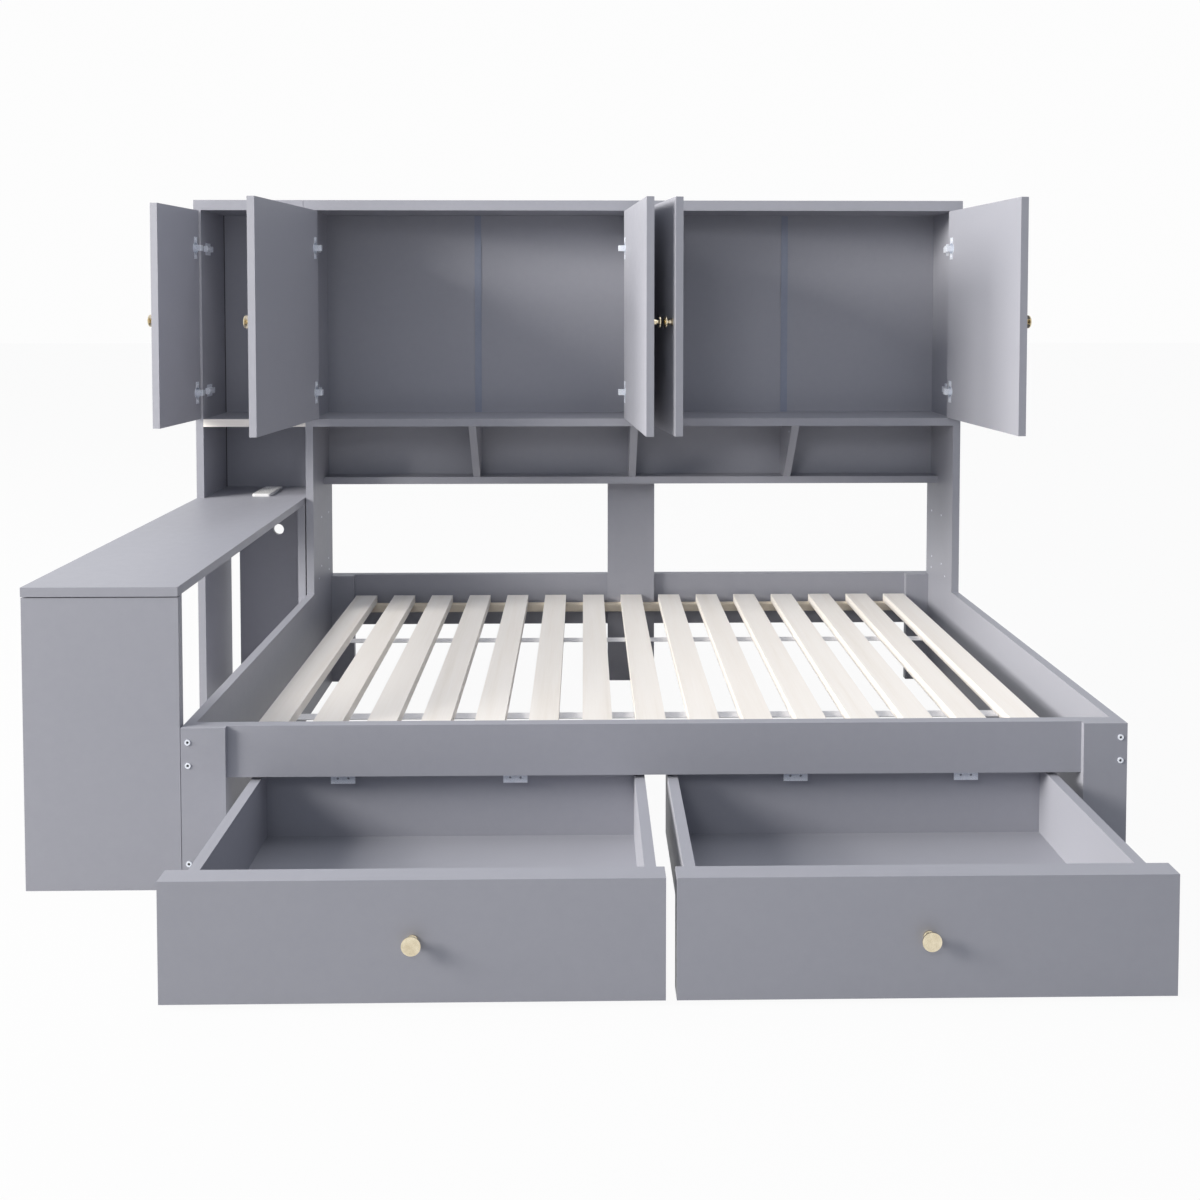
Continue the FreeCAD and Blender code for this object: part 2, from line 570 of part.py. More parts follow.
# Drawers
for name, side in (("drawer_left", -1), ("drawer_right", 1)):
    near = side * DRAWER_IN_X
    far = side * DRAWER_OUT_X
    middle = (near + far) / 2
    panel = box(near, far, DRAWER_FRONT_Y, DRAWER_FRONT_BACK_Y, DRAWER_FOOT, DRAWER_TOP)
    panel = panel.cut(stud_hole(middle, DRAWER_FRONT_Y, DRAWER_KNOB_Z))
    export(name + "_front", [panel])
    near_in = near + side * DRAWER_NEAR_INSET
    far_in = far - side * DRAWER_FAR_INSET
    walls = [
        box(near_in, near_in + side * DRAWER_WALL, DRAWER_FRONT_BACK_Y, DRAWER_BACK_OUT_Y, DRAWER_BOX_FOOT, DRAWER_TOP),
        box(far_in, far_in - side * DRAWER_WALL, DRAWER_FRONT_BACK_Y, DRAWER_BACK_OUT_Y, DRAWER_BOX_FOOT, DRAWER_TOP),
        box(near_in + side * DRAWER_WALL, far_in - side * DRAWER_WALL, DRAWER_BACK_IN_Y, DRAWER_BACK_OUT_Y,
            DRAWER_BOX_FOOT, DRAWER_TOP),
    ]
    export(name + "_walls", walls)
    export(name + "_bottom", [box(near_in + side * DRAWER_WALL, far_in - side * DRAWER_WALL, DRAWER_FRONT_BACK_Y,
                                  DRAWER_BACK_IN_Y, DRAWER_BOX_FOOT, DRAWER_BOX_FOOT + DRAWER_BOTTOM_THICK)])
    export(name + "_knob", [knob(middle, DRAWER_FRONT_Y, DRAWER_KNOB_Z)])
    front_y = DRAWER_FRONT_BACK_Y + CASTER_FRONT
    rear_y = DRAWER_BACK_OUT_Y - CASTER_REAR
    near_x = near_in + side * CASTER_INSET
    far_x = far_in - side * CASTER_INSET
    forks = []
    for y in (front_y, rear_y):
        forks.append(fork(near_x, y))
        forks.append(fork(far_x, y))
    export(name + "_forks", forks)
    export(name + "_wheels_front", [wheel(near_x, front_y), wheel(far_x, front_y)])
    export(name + "_wheels_rear", [wheel(near_x, rear_y), wheel(far_x, rear_y)])
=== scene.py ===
import bmesh
import bpy
import json
import math

from mathutils import Matrix, Vector


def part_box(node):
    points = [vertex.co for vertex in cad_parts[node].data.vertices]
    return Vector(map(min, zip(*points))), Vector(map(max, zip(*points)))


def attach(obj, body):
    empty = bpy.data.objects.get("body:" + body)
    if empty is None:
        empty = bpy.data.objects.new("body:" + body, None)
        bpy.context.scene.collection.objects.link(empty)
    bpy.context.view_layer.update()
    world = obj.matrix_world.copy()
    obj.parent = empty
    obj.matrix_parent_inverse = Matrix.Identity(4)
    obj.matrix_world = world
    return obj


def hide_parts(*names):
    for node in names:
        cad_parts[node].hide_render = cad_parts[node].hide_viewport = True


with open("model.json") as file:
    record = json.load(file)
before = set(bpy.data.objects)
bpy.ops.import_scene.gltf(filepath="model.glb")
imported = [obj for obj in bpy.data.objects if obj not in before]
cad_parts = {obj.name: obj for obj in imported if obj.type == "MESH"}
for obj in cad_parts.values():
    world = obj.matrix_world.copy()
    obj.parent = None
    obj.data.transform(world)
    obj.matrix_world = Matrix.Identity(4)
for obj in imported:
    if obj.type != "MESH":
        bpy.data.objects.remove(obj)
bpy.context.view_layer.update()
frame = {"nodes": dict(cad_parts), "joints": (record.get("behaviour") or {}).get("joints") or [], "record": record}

MM = 0.001

# Camera, fitted to the edges in the photograph
CAMERA_PLACE = (-151.9 * MM, -3587.4 * MM, 1225.0 * MM)
CAMERA_TURN_RIGHT = 0.0145
CAMERA_PITCH_DOWN = 0.0354
SENSOR = 36.0
FOCAL_PIXELS = 1115.8
IMAGE_PIXELS = 1200.0
IMAGE_MIDDLE = IMAGE_PIXELS / 2
CENTRE_ROW = 341.9

# Colours, linear
GREY_LIGHT = (0.322, 0.326, 0.368, 1.0)
GREY_DARK = (0.308, 0.313, 0.355, 1.0)
STRIP_LIGHT = (0.270, 0.295, 0.370, 1.0)
STRIP_DARK = (0.240, 0.265, 0.340, 1.0)
SLAT_PALE = (0.86, 0.825, 0.79, 1.0)
SLAT_WARM = (0.82, 0.77, 0.72, 1.0)
SLAT_STREAK = (0.72, 0.66, 0.59, 1.0)
LEDGER_PALE = (0.80, 0.72, 0.60, 1.0)
LEDGER_WARM = (0.74, 0.64, 0.50, 1.0)
LEDGER_STREAK = (0.62, 0.52, 0.38, 1.0)
BRASS_LIGHT = (0.80, 0.72, 0.54, 1.0)
BRASS_DARK = (0.62, 0.53, 0.37, 1.0)
STEEL_LIGHT = (0.86, 0.89, 0.95, 1.0)
STEEL_DARK = (0.74, 0.78, 0.86, 1.0)
WHITE_PLASTIC = (0.80, 0.80, 0.80, 1.0)
# Dark of holes, sockets and gaps, which is painted shade, and of the port tongues' plastic
SHADE_AND_PLASTIC_DARK = (0.020, 0.020, 0.022, 1.0)
SHADE_AND_PLASTIC_GREY = (0.045, 0.045, 0.050, 1.0)
TREAD_GREY = (0.09, 0.092, 0.10, 1.0)
STRAP_GREY = (0.85, 0.85, 0.87, 1.0)
STRAP_SHADE = (0.66, 0.66, 0.69, 1.0)
FLOOR_PALE = (0.45, 0.45, 0.46, 1.0)
PALE_EDGE_AND_HIGHLIGHT = (0.86, 0.82, 0.78, 1.0)
WHITE = (1.0, 1.0, 1.0, 1.0)
AMBIENT_TINT = (0.83, 0.89, 1.0, 1.0)
KEY_TINT = (1.0, 0.97, 0.91)
NEUTRAL = (1.0, 1.0, 1.0)

# Noise: scales are in waves per metre, detail in octaves
LITTLE_DETAIL = 2.0
SOME_DETAIL = 3.0
MUCH_DETAIL = 5.0
MOST_DETAIL = 6.0
EVEN_ROUGHNESS = 0.5
NOISE_LOW = 0.3
NOISE_HIGH = 0.7
NEW_STOP = 0.5

# Paint on the boards
PAINT_CLOUD = 1.8
PAINT_GRAIN = 46.0
PAINT_GRAIN_ROUGHNESS = 0.62
PAINT_CLOUD_SHARE = 0.5
PAINT_GRAIN_SHARE = 0.5
PAINT_DARK_STOP = 0.36
PAINT_LIGHT_STOP = 0.64
PAINT_ROUGHNESS = (0.42, 0.52)
PAINT_SPECULAR = 0.25
PEEL = 640.0
PEEL_STRENGTH = 0.12
PEEL_DEPTH = 0.00025
ROLLER = 95.0
ROLLER_STRENGTH = 0.06
ROLLER_DEPTH = 0.0007

# Wood of the slats and ledgers
ALONG_X = 0
ALONG_Y = 1
SLAT_COUNT = 15
SLAT_WIDE = 67.0
LEDGER_PITCH = 1.0
HALF_PITCH = 0.5
BOARD_JUMP = 7.0
FIGURE_ACROSS = 34.0
FIGURE_ALONG = 1.3
FIGURE_ROUGHNESS = 0.6
FIBRE_ACROSS = 420.0
FIBRE_ALONG = 7.0
STREAK_STOP = 0.30
WARM_STOP = 0.42
PALE_STOP = 0.56
LAST_STOP = 0.75
PLAIN_SHARE = 0.55
BOARD_VARIES = 0.20
FIBRE_DUST = 0.12
WOOD_ROUGHNESS = (0.52, 0.66)
WOOD_SPECULAR = 0.20
FIBRE_STRENGTH = 0.22
FIBRE_DEPTH = 0.0003
FIGURE_STRENGTH = 0.10
FIGURE_DEPTH = 0.0006

# Metal of the knobs and fittings
METAL_BRUSH = 900.0
METAL_CLOUD = 60.0
METAL_BRUSH_SHARE = 0.4
METAL_CLOUD_SHARE = 0.6
METAL_DARK_STOP = 0.34
METAL_LIGHT_STOP = 0.62
METAL_STRENGTH = 0.05
FINE_DEPTH = 0.0001
BRASS_ROUGHNESS = (0.12, 0.18)
BRASS_METALLIC = 1.0
STEEL_ROUGHNESS = (0.24, 0.36)
STEEL_METALLIC = 0.35

# Plastic of the outlet and caster wheels
PLASTIC_SPECKLE = 900.0
PLASTIC_CLOUD = 30.0
PLASTIC_CLOUD_SHARE = 0.5
PLASTIC_STRENGTH = 0.12
SMOOTHER = 0.85
ROUGHER = 1.15
OUTLET_ROUGHNESS = 0.28
OUTLET_SHADE = 0.95
TREAD_ROUGHNESS = 0.55
TREAD_SHADE = 0.82

# Weave of the straps
WARP = 160.0
WEFT = 210.0
WEAVE_LOW = 0.10
WEAVE_HIGH = 0.70
STRAP_ROUGHNESS = 0.85
WEAVE_STRENGTH = 0.4
WEAVE_DEPTH = 0.0004

# Dark material: painted shade inside sockets, holes and the gap beside the tower's back sheet, and the dark
# plastic of the port tongues
FLECK = 500.0
FLECK_STRENGTH = 0.1
SOCKET_ROUGHNESS = 0.4

# Rounded edges
SHARP_ANGLE = math.radians(32.0)
BEVEL_STEPS = 3
BEVELS = {
    "paint": 1.2 * MM,
    "slat_wood": 2.2 * MM,
    "knob_brass": 0.5 * MM,
    "hinge_steel": 0.3 * MM,
    "outlet_plastic": 0.5 * MM,
    "caster_plastic": 0.8 * MM,
}

# Doors, each with the node of the wall that its hinges are on
HINGE_WALLS = {
    "door_1": "tower_side_panel",
    "door_2": "bridge_side_left",
    "door_3": "mid_panel",
    "door_4": "mid_panel",
    "door_5": "bridge_side_right",
}
ARM_HALF_TALL = 18.0
CUP_CENTRE = 24.5
DOOR_BACK = 20.0
FLANGE_THICK = 1.2
FLANGE_SCREW_RISE = 25.0
ARM_FACE = 12.0
ARM_SCREWS = (34.0, 60.0)

# Turned solids as (radius, height), each seated just under the face that it stands on
SEAT = -0.1
TURNED_STEPS = 24
SCREW_PROFILE = ((0.0, SEAT), (3.4, SEAT), (3.4, 0.5), (2.7, 1.1), (1.5, 1.2), (1.4, 0.5), (0.0, 0.5))
BOLT_SOCKET = ((0.0, SEAT), (2.7, SEAT), (2.7, 0.2), (0.0, 0.2))
PIN_HOLE = ((0.0, SEAT), (2.4, SEAT), (2.4, 0.15), (0.0, 0.15))

# Front edge of the tower shelf, pale to this depth: a pale edge, made paler still as painted highlight for the
# light that falls on it
PALE_HIGHLIGHT_DEPTH = 0.6

# Painted shade: a dark strip in the gap beside the tower's back sheet, standing for the shadow there, from the
# lowest corner of the sheets
SHADE_STRIP_START = (0.1, 1.0, 0.4)
SHADE_STRIP_WIDE = 2.8
SHADE_STRIP_THICK = 2.0
SHADE_STRIP_HEAD_PLAY = 0.7

# Ledgers under the ends of the slats; the back one stands between the back posts
LEDGER_DEEP = 25.0
BACK_LEDGER_SHORTER = 72.0

# Bolts on the front posts, from the posts' outer faces, feet and tops
BOLT_INSET = 14.5
BOLT_RISE = 58.0
BOLT_DROPS = (78.3, 29.5)
BOLT_SOCKET_PROUD = 0.4

# Outlet on the desk: shifts are along Y from its middle, depths from its top
SOCKET_SHIFT = 42.0
SOCKET_DEEP = 3.0
PIN_HOLE_STEP = 9.5
PORT_SHIFTS = (-18.0, -36.0)
PORT_LONG = 5.5
PORT_DEEP = 4.0
TONGUE_WIDE = 9.0
TONGUE_THICK = 1.8
TONGUE_TALL = 2.6

# Floor, background and soft light from all around
FLOOR_HALF = 30.0
FLOOR_DROP = 0.0005
FLOOR_ROUGHNESS = 0.9
FLOOR_GLOW = 0.95
BACKDROP = 0.98
AMBIENT = 0.42

# Lamps: name, place, target, size, power, tint and spread
OPEN_SPREAD = math.pi
WASH_SPREAD = math.radians(75.0)
LAMPS = (
    ("key", (-6.5, -3.7, 3.55), (0.2, -0.5, 0.5), (2.1, 2.1), 600.0, KEY_TINT, OPEN_SPREAD),
    ("side", (-8.5, -1.8, 2.9), (0.5, -0.6, 0.8), (1.8, 1.8), 610.0, KEY_TINT, OPEN_SPREAD),
    ("top", (0.3, -0.9, 4.4), (0.0, -0.7, 0.3), (3.0, 2.0), 40.0, NEUTRAL, OPEN_SPREAD),
    ("right_wash", (-0.9, -3.9, 2.3), (1.25, -0.5, 0.75), (0.8, 0.8), 4.5, NEUTRAL, WASH_SPREAD),
)


# Places and joints read from the frame
def corners(node):
    """Lowest and highest corner of a node of the frame, in millimetres."""
    low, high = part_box(node)
    return low / MM, high / MM


def slat_pitch():
    low, high = corners("slats")
    return (high.x - low.x - SLAT_WIDE) / (SLAT_COUNT - 1) * MM


def pale_highlight_front():
    return (corners("tower_shelf")[0].y + PALE_HIGHLIGHT_DEPTH) * MM


def joint_of(body):
    return next(joint for joint in frame["joints"] if joint["child"] == body)


# Node helpers
class Shader:
    """A material's node tree with short calls to add nodes and join them."""

    def __init__(self, name):
        self.material = bpy.data.materials.new(name)
        self.material.use_nodes = True
        self.tree = self.material.node_tree
        self.tree.nodes.clear()
        self.output = self.add("ShaderNodeOutputMaterial")
        self.bsdf = self.add("ShaderNodeBsdfPrincipled")
        self.join(self.bsdf.outputs["BSDF"], self.output.inputs["Surface"])
        self.coords = self.add("ShaderNodeTexCoord").outputs["Object"]

    def add(self, kind, **settings):
        node = self.tree.nodes.new(kind)
        for key, value in settings.items():
            setattr(node, key, value)
        return node

    def join(self, output, socket):
        self.tree.links.new(output, socket)

    def feed(self, value, socket):
        if hasattr(value, "is_output"):
            self.join(value, socket)
        else:
            socket.default_value = value

    def parts(self):
        node = self.add("ShaderNodeSeparateXYZ")
        self.join(self.coords, node.inputs["Vector"])
        return node.outputs

    def stretched(self, scale, source):
        mapping = self.add("ShaderNodeMapping")
        mapping.inputs["Scale"].default_value = scale
        self.join(source, mapping.inputs["Vector"])
        return mapping.outputs["Vector"]

    def noise(self, vector, scale, detail, roughness=EVEN_ROUGHNESS):
        node = self.add("ShaderNodeTexNoise")
        node.inputs["Scale"].default_value = scale
        node.inputs["Detail"].default_value = detail
        node.inputs["Roughness"].default_value = roughness
        self.join(vector, node.inputs["Vector"])
        return node.outputs["Fac"]

    def bands(self, direction, scale):
        node = self.add("ShaderNodeTexWave", wave_type="BANDS", bands_direction=direction)
        node.inputs["Scale"].default_value = scale
        self.join(self.coords, node.inputs["Vector"])
        return node.outputs["Fac"]

    def ramp(self, value, stops):
        node = self.add("ShaderNodeValToRGB")
        elements = node.color_ramp.elements
        while len(elements) < len(stops):
            elements.new(NEW_STOP)
        for element, (place, colour) in zip(elements, stops):
            element.position = place
            element.color = colour
        self.join(value, node.inputs["Fac"])
        return node.outputs["Color"]

    def spread(self, value, low, high, start=NOISE_LOW, end=NOISE_HIGH):
        node = self.add("ShaderNodeMapRange")
        node.inputs["From Min"].default_value = start
        node.inputs["From Max"].default_value = end
        node.inputs["To Min"].default_value = low
        node.inputs["To Max"].default_value = high
        self.join(value, node.inputs["Value"])
        return node.outputs["Result"]

    def mix(self, share, first, second):
        node = self.add("ShaderNodeMix", data_type="RGBA")
        colour_inputs = [s for s in node.inputs if s.type == "RGBA"]
        self.feed(share, node.inputs["Factor"])
        self.feed(first, colour_inputs[0])
        self.feed(second, colour_inputs[1])
        return [s for s in node.outputs if s.type == "RGBA"][0]

    def calc(self, operation, first, second):
        node = self.add("ShaderNodeMath", operation=operation)
        self.feed(first, node.inputs[0])
        self.feed(second, node.inputs[1])
        return node.outputs["Value"]

    def blend(self, first, first_share, second, second_share):
        return self.calc("ADD", self.calc("MULTIPLY", first, first_share),
                         self.calc("MULTIPLY", second, second_share))

    def bump(self, height, strength, distance, below=None):
        node = self.add("ShaderNodeBump")
        node.inputs["Strength"].default_value = strength
        node.inputs["Distance"].default_value = distance
        self.join(height, node.inputs["Height"])
        if below is not None:
            self.join(below, node.inputs["Normal"])
        return node.outputs["Normal"]

    def finish(self, colour, roughness, normal=None, values=None):
        self.feed(colour, self.bsdf.inputs["Base Color"])
        self.feed(roughness, self.bsdf.inputs["Roughness"])
        if normal is not None:
            self.join(normal, self.bsdf.inputs["Normal"])
        for socket, value in (values or {}).items():
            self.bsdf.inputs[socket].default_value = value
        return self.material


def background_rays(tree):
    """Share that is 1 for rays that show the background: camera, glossy and transmission rays."""
    path = tree.nodes.new("ShaderNodeLightPath")
    share = path.outputs["Is Camera Ray"]
    for name in ("Is Glossy Ray", "Is Transmission Ray"):
        either = tree.nodes.new("ShaderNodeMath")
        either.operation = "MAXIMUM"
        tree.links.new(share, either.inputs[0])
        tree.links.new(path.outputs[name], either.inputs[1])
        share = either.outputs["Value"]
    return share


# Materials
def painted_board(name, light, dark, pale_highlight_front=None):
    s = Shader(name)
    cloud = s.noise(s.coords, PAINT_CLOUD, LITTLE_DETAIL)
    grain = s.noise(s.coords, PAINT_GRAIN, MUCH_DETAIL, PAINT_GRAIN_ROUGHNESS)
    tone = s.blend(cloud, PAINT_CLOUD_SHARE, grain, PAINT_GRAIN_SHARE)
    colour = s.ramp(tone, [(PAINT_DARK_STOP, dark), (PAINT_LIGHT_STOP, light)])
    if pale_highlight_front is not None:
        # The front face takes a pale edge colour, made paler as a painted highlight of the light on that edge
        colour = s.mix(s.calc("LESS_THAN", s.parts()["Y"], pale_highlight_front), colour, PALE_EDGE_AND_HIGHLIGHT)
    roughness = s.spread(grain, *PAINT_ROUGHNESS)
    peel = s.noise(s.coords, PEEL, LITTLE_DETAIL)
    roller = s.noise(s.coords, ROLLER, SOME_DETAIL)
    under = s.bump(roller, ROLLER_STRENGTH, ROLLER_DEPTH)
    normal = s.bump(peel, PEEL_STRENGTH, PEEL_DEPTH, under)
    return s.finish(colour, roughness, normal, {"Specular IOR Level": PAINT_SPECULAR})


def board_place(s, pick):
    """Coordinates that jump from board to board, so that no two boards share their grain."""
    jump = s.add("ShaderNodeVectorMath", operation="SCALE")
    s.join(pick.outputs["Color"], jump.inputs[0])
    jump.inputs["Scale"].default_value = BOARD_JUMP
    shifted = s.add("ShaderNodeVectorMath", operation="ADD")
    s.join(s.coords, shifted.inputs[0])
    s.join(jump.outputs["Vector"], shifted.inputs[1])
    return shifted.outputs["Vector"]


def slat_wood(name, along, pitch_axis, pitch, pale, warm, streak):
    s = Shader(name)
    count = s.calc("DIVIDE", s.parts()[pitch_axis], pitch)
    index = s.calc("FLOOR", s.calc("ADD", count, HALF_PITCH), 0.0)
    pick = s.add("ShaderNodeTexWhiteNoise", noise_dimensions="1D")
    s.join(index, pick.inputs["W"])
    place = board_place(s, pick)
    broad = [FIGURE_ACROSS] * 3
    fine = [FIBRE_ACROSS] * 3
    broad[along] = FIGURE_ALONG
    fine[along] = FIBRE_ALONG
    figure = s.noise(s.stretched(broad, place), 1.0, MOST_DETAIL, FIGURE_ROUGHNESS)
    fibre = s.noise(s.stretched(fine, place), 1.0, LITTLE_DETAIL)
    colour = s.ramp(figure, [(STREAK_STOP, streak), (WARM_STOP, warm), (PALE_STOP, pale), (LAST_STOP, pale)])
    plain = s.mix(PLAIN_SHARE, colour, pale)
    varied = s.mix(s.spread(pick.outputs["Value"], 0.0, BOARD_VARIES, 0.0, 1.0), plain, warm)
    dusted = s.mix(s.spread(fibre, 0.0, FIBRE_DUST), varied, streak)
    roughness = s.spread(figure, *WOOD_ROUGHNESS)
    under = s.bump(figure, FIGURE_STRENGTH, FIGURE_DEPTH)
    normal = s.bump(fibre, FIBRE_STRENGTH, FIBRE_DEPTH, under)
    return s.finish(dusted, roughness, normal, {"Specular IOR Level": WOOD_SPECULAR})


def turned_metal(name, light, dark, roughness, metallic):
    s = Shader(name)
    brush = s.noise(s.coords, METAL_BRUSH, SOME_DETAIL)
    cloud = s.noise(s.coords, METAL_CLOUD, LITTLE_DETAIL)
    tone = s.blend(brush, METAL_BRUSH_SHARE, cloud, METAL_CLOUD_SHARE)
    colour = s.ramp(tone, [(METAL_DARK_STOP, dark), (METAL_LIGHT_STOP, light)])
    normal = s.bump(brush, METAL_STRENGTH, FINE_DEPTH)
    return s.finish(colour, s.spread(brush, *roughness), normal, {"Metallic": metallic})


def moulded_plastic(name, tone, roughness, shade):
    s = Shader(name)
    speckle = s.noise(s.coords, PLASTIC_SPECKLE, LITTLE_DETAIL)
    cloud = s.noise(s.coords, PLASTIC_CLOUD, LITTLE_DETAIL)
    darker = (*(channel * shade for channel in tone[:3]), 1.0)
    colour = s.mix(s.spread(cloud, 0.0, PLASTIC_CLOUD_SHARE), tone, darker)
    normal = s.bump(speckle, PLASTIC_STRENGTH, FINE_DEPTH)
    return s.finish(colour, s.spread(speckle, roughness * SMOOTHER, roughness * ROUGHER), normal)


def woven_strap():
    s = Shader("woven_strap")
    weave = s.calc("MULTIPLY", s.bands("X", WARP), s.bands("Y", WEFT))
    colour = s.ramp(weave, [(WEAVE_LOW, STRAP_SHADE), (WEAVE_HIGH, STRAP_GREY)])
    return s.finish(colour, STRAP_ROUGHNESS, s.bump(weave, WEAVE_STRENGTH, WEAVE_DEPTH))


# Painted shade for holes, sockets and gaps, and the real dark plastic of the port tongues
def dark_plastic_and_painted_shade():
    s = Shader("dark_plastic_and_painted_shade")
    fleck = s.noise(s.coords, FLECK, LITTLE_DETAIL)
    colour = s.ramp(fleck, [(NOISE_LOW, SHADE_AND_PLASTIC_DARK), (NOISE_HIGH, SHADE_AND_PLASTIC_GREY)])
    return s.finish(colour, SOCKET_ROUGHNESS, s.bump(fleck, FLECK_STRENGTH, FINE_DEPTH))


PAINT = painted_board("grey_paint", GREY_LIGHT, GREY_DARK)
STRIP = painted_board("joint_strip", STRIP_LIGHT, STRIP_DARK)
PALE_HIGHLIGHT_FRONT_BOARD = painted_board("grey_paint_pale_highlight_front", GREY_LIGHT, GREY_DARK, pale_highlight_front())
SLAT = slat_wood("slat_wood_grain", ALONG_Y, "X", slat_pitch(), SLAT_PALE, SLAT_WARM, SLAT_STREAK)
LEDGER = slat_wood("ledger_wood_grain", ALONG_X, "Y", LEDGER_PITCH, LEDGER_PALE, LEDGER_WARM, LEDGER_STREAK)
BRASS = turned_metal("champagne_brass", BRASS_LIGHT, BRASS_DARK, BRASS_ROUGHNESS, BRASS_METALLIC)
STEEL = turned_metal("nickel_plate", STEEL_LIGHT, STEEL_DARK, STEEL_ROUGHNESS, STEEL_METALLIC)
OUTLET = moulded_plastic("outlet_white", WHITE_PLASTIC, OUTLET_ROUGHNESS, OUTLET_SHADE)
TREAD = moulded_plastic("caster_tread", TREAD_GREY, TREAD_ROUGHNESS, TREAD_SHADE)
STRAP = woven_strap()
DARK_PLASTIC_AND_SHADE = dark_plastic_and_painted_shade()

SLOT_MATERIALS = {
    "paint": PAINT,
    "slat_wood": SLAT,
    "knob_brass": BRASS,
    "hinge_steel": STEEL,
    "outlet_plastic": OUTLET,
    "caster_plastic": TREAD,
    "strap_fabric": STRAP,
}
NODE_MATERIALS = {"slat_ledgers": LEDGER, "back_strips": STRIP, "tower_shelf": PALE_HIGHLIGHT_FRONT_BOARD}
NODE_SLOTS = {entry["node"]: entry["material_slot"] for entry in frame["record"]["subparts"]}


# Materials and rounded edges for the nodes of the frame
def soften(piece, width):
    bevel = piece.modifiers.new("edge", "BEVEL")
    bevel.width = width
    bevel.segments = BEVEL_STEPS
    bevel.limit_method = "ANGLE"
    bevel.angle_limit = SHARP_ANGLE
    bevel.harden_normals = True


def dress_nodes():
    for node, piece in frame["nodes"].items():
        slot = NODE_SLOTS[node]
        piece.data.materials.clear()
        piece.data.materials.append(NODE_MATERIALS.get(node, SLOT_MATERIALS[slot]))
        if slot in BEVELS:
            soften(piece, BEVELS[slot])


# Mesh helpers for added pieces
def link_object(name, data):
    piece = bpy.data.objects.new(name, data)
    bpy.context.scene.collection.objects.link(piece)
    return piece


def piece_from(name, bm, material, body):
    mesh = bpy.data.meshes.new(name)
    bmesh.ops.recalc_face_normals(bm, faces=bm.faces)
    bm.to_mesh(mesh)
    bm.free()
    for face in mesh.polygons:
        face.use_smooth = True
    mesh.set_sharp_from_angle(angle=SHARP_ANGLE)
    piece = link_object(name, mesh)
    mesh.materials.append(material)
    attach(piece, body)
    return piece


def lathe(bm, profile, place, direction):
    """Adds a turned solid; profile is (radius, height) from the foot to the tip, both ends on the axis."""
    turn = Vector((0.0, 0.0, 1.0)).rotation_difference(Vector(direction)).to_matrix().to_4x4()
    matrix = Matrix.Translation(Vector(place) * MM) @ turn
    foot = bm.verts.new(matrix @ Vector((0.0, 0.0, profile[0][1] * MM)))
    tip = bm.verts.new(matrix @ Vector((0.0, 0.0, profile[-1][1] * MM)))
    angles = [math.tau * step / TURNED_STEPS for step in range(TURNED_STEPS)]
    rings = []
    for radius, height in profile[1:-1]:
        points = [Vector((radius * math.cos(angle), radius * math.sin(angle), height)) for angle in angles]
        rings.append([bm.verts.new(matrix @ (point * MM)) for point in points])
    for step in range(TURNED_STEPS):
        after = (step + 1) % TURNED_STEPS
        bm.faces.new((foot, rings[0][after], rings[0][step]))
        for low, high in zip(rings[:-1], rings[1:]):
            bm.faces.new((low[step], low[after], high[after], high[step]))
        bm.faces.new((rings[-1][step], rings[-1][after], tip))


def block(bm, low, high):
    points = [bm.verts.new((x * MM, y * MM, z * MM)) for z in (low[2], high[2])
              for y in (low[1], high[1]) for x in (low[0], high[0])]
    for face in ((0, 1, 3, 2), (4, 5, 7, 6), (0, 1, 5, 4), (2, 3, 7, 6), (0, 2, 6, 4), (1, 3, 7, 5)):
        bm.faces.new([points[i] for i in face])


# Added pieces
def add_ledger_bars():
    low, high = corners("slat_ledgers")
    rail_foot = corners("front_rail")[0].z
    left = low.x + BACK_LEDGER_SHORTER
    right = high.x - BACK_LEDGER_SHORTER
    bars = bmesh.new()
    block(bars, (low.x, low.y, rail_foot), (high.x, low.y + LEDGER_DEEP, high.z))
    block(bars, (left, high.y - LEDGER_DEEP, low.z), (right, high.y, high.z))
    piece = piece_from("slat_ledger_bars", bars, LEDGER, "frame")
    soften(piece, BEVELS["slat_wood"])
    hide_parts("slat_ledgers")


def open_matrix(joint):
    """Turns what was placed on the shut door about its hinge line, to where the door stands at rest."""
    shut = joint["range_deg"][0]
    line = Vector(joint["pos_m"])
    turn = Matrix.Rotation(math.radians(-shut), 4, Vector(joint["axis"]))
    return Matrix.Translation(line) @ turn @ Matrix.Translation(-line)


def add_hinge_screws():
    arms_low, arms_high = corners("hinge_arms")
    heights = (arms_low.z + ARM_HALF_TALL, arms_high.z - ARM_HALF_TALL)
    arms = bmesh.new()
    for body, wall_node in HINGE_WALLS.items():
        joint = joint_of(body)
        low, high = corners(wall_node)
        side = -joint["axis"][2]
        wall = high.x if side > 0 else low.x
        flanges = bmesh.new()
        back = low.y + DOOR_BACK + FLANGE_THICK
        for height in heights:
            for rise in (-FLANGE_SCREW_RISE, FLANGE_SCREW_RISE):
                lathe(flanges, SCREW_PROFILE, (wall + side * CUP_CENTRE, back, height + rise), (0, 1, 0))
            for deep in ARM_SCREWS:
                place = (wall + side * ARM_FACE, low.y + deep, height)
                lathe(arms, SCREW_PROFILE, place, (side, 0, 0))
        bmesh.ops.transform(flanges, matrix=open_matrix(joint), verts=flanges.verts)
        piece_from("flange_screws_" + body[-1], flanges, STEEL, body)
    piece_from("arm_screws", arms, STEEL, "frame")


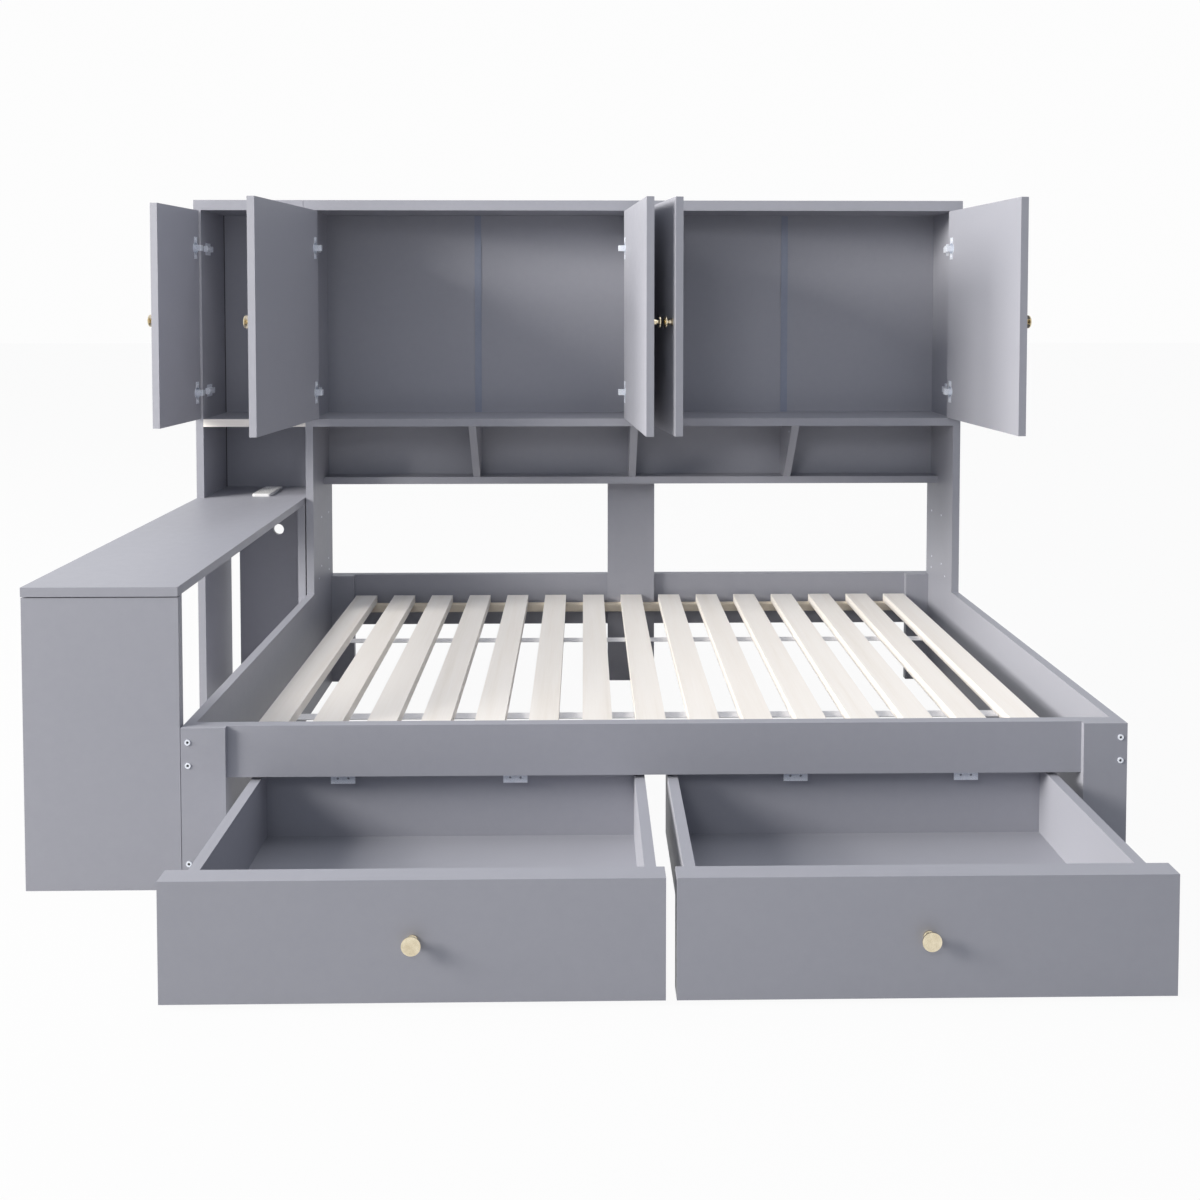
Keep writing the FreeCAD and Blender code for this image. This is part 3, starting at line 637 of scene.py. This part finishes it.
# Dark discs on the front posts' bolt heads: painted shade standing for each bolt's hollow socket
def add_bolt_sockets():
    low, high = corners("front_posts")
    heights = (low.z + BOLT_RISE, *(high.z - drop for drop in BOLT_DROPS))
    sockets = bmesh.new()
    for x in (low.x + BOLT_INSET, high.x - BOLT_INSET):
        for height in heights:
            lathe(sockets, BOLT_SOCKET, (x, low.y - BOLT_SOCKET_PROUD, height), (0, -1, 0))
    piece_from("bolt_socket_painted_shade", sockets, DARK_PLASTIC_AND_SHADE, "frame")


def add_outlet_inserts():
    low, high = corners("power_outlet")
    x, y, _ = (low + high) / 2
    # Dark discs at the foot of the outlet's pin holes: painted shade of the deep holes
    holes = bmesh.new()
    for step in (-PIN_HOLE_STEP, PIN_HOLE_STEP):
        lathe(holes, PIN_HOLE, (x + step, y + SOCKET_SHIFT, high.z - SOCKET_DEEP), (0, 0, 1))
    piece_from("socket_hole_painted_shade", holes, DARK_PLASTIC_AND_SHADE, "frame")
    tongues = bmesh.new()
    left = x - TONGUE_WIDE / 2
    foot = high.z - PORT_DEEP + SEAT
    for shift in PORT_SHIFTS:
        front = y + shift + PORT_LONG / 2 - TONGUE_THICK / 2
        block(tongues, (left, front, foot), (left + TONGUE_WIDE, front + TONGUE_THICK, foot + TONGUE_TALL))
    piece_from("port_tongues", tongues, DARK_PLASTIC_AND_SHADE, "frame")


# Painted shade: a dark strip laid in the gap beside the tower's back sheet, which is only in shadow there
def add_gap_painted_shade():
    low, high = corners("back_sheets")
    start = low + Vector(SHADE_STRIP_START)
    shade_strip = bmesh.new()
    block(shade_strip, start, (start.x + SHADE_STRIP_WIDE, start.y + SHADE_STRIP_THICK, high.z - SHADE_STRIP_HEAD_PLAY))
    piece_from("gap_painted_shade_strip", shade_strip, DARK_PLASTIC_AND_SHADE, "frame")


dress_nodes()
add_ledger_bars()
add_hinge_screws()
add_bolt_sockets()
add_outlet_inserts()
add_gap_painted_shade()


# Room, lights and camera
def camera_matrix():
    forward = Vector((math.sin(CAMERA_TURN_RIGHT) * math.cos(CAMERA_PITCH_DOWN),
                      math.cos(CAMERA_TURN_RIGHT) * math.cos(CAMERA_PITCH_DOWN),
                      -math.sin(CAMERA_PITCH_DOWN)))
    right = Vector((math.cos(CAMERA_TURN_RIGHT), -math.sin(CAMERA_TURN_RIGHT), 0.0))
    up = right.cross(forward)
    turn = Matrix((right, up, -forward)).transposed().to_4x4()
    return Matrix.Translation(CAMERA_PLACE) @ turn


def add_camera():
    data = bpy.data.cameras.new("camera")
    data.sensor_width = SENSOR
    data.sensor_fit = "HORIZONTAL"
    data.lens = FOCAL_PIXELS / IMAGE_PIXELS * SENSOR
    data.shift_y = (CENTRE_ROW - IMAGE_MIDDLE) / IMAGE_PIXELS
    camera = link_object("camera", data)
    camera.matrix_world = camera_matrix()
    bpy.context.scene.camera = camera


def add_lamp(name, place, target, size, power, tint, spread):
    data = bpy.data.lights.new(name, "AREA")
    data.shape = "RECTANGLE"
    data.size, data.size_y = size
    data.energy = power
    data.color = tint
    data.spread = spread
    lamp = link_object(name, data)
    lamp.location = place
    lamp.rotation_euler = (Vector(target) - Vector(place)).to_track_quat("-Z", "Y").to_euler()


def add_floor():
    bm = bmesh.new()
    bmesh.ops.create_grid(bm, x_segments=1, y_segments=1, size=FLOOR_HALF)
    mesh = bpy.data.meshes.new("floor")
    bm.to_mesh(mesh)
    bm.free()
    floor = link_object("floor", mesh)
    floor.location = (0.0, 0.0, -FLOOR_DROP)
    s = Shader("pale_floor")
    s.finish(FLOOR_PALE, FLOOR_ROUGHNESS)
    glow = s.add("ShaderNodeEmission")
    glow.inputs["Color"].default_value = WHITE
    blend = s.add("ShaderNodeMixShader")
    s.join(s.calc("MULTIPLY", background_rays(s.tree), FLOOR_GLOW), blend.inputs["Fac"])
    s.join(s.bsdf.outputs["BSDF"], blend.inputs[1])
    s.join(glow.outputs["Emission"], blend.inputs[2])
    s.join(blend.outputs["Shader"], s.output.inputs["Surface"])
    mesh.materials.append(s.material)


def set_world():
    world = bpy.data.worlds.new("studio")
    bpy.context.scene.world = world
    world.use_nodes = True
    tree = world.node_tree
    tree.nodes.clear()
    output = tree.nodes.new("ShaderNodeOutputWorld")
    blend = tree.nodes.new("ShaderNodeMixShader")
    tree.links.new(background_rays(tree), blend.inputs["Fac"])
    for place, (colour, strength) in enumerate(((AMBIENT_TINT, AMBIENT), (WHITE, BACKDROP)), start=1):
        light = tree.nodes.new("ShaderNodeBackground")
        light.inputs["Color"].default_value = colour
        light.inputs["Strength"].default_value = strength
        tree.links.new(light.outputs["Background"], blend.inputs[place])
    tree.links.new(blend.outputs["Shader"], output.inputs["Surface"])


add_camera()
add_floor()
set_world()
for lamp_values in LAMPS:
    add_lamp(*lamp_values)
bpy.context.scene.view_settings.view_transform = "Standard"
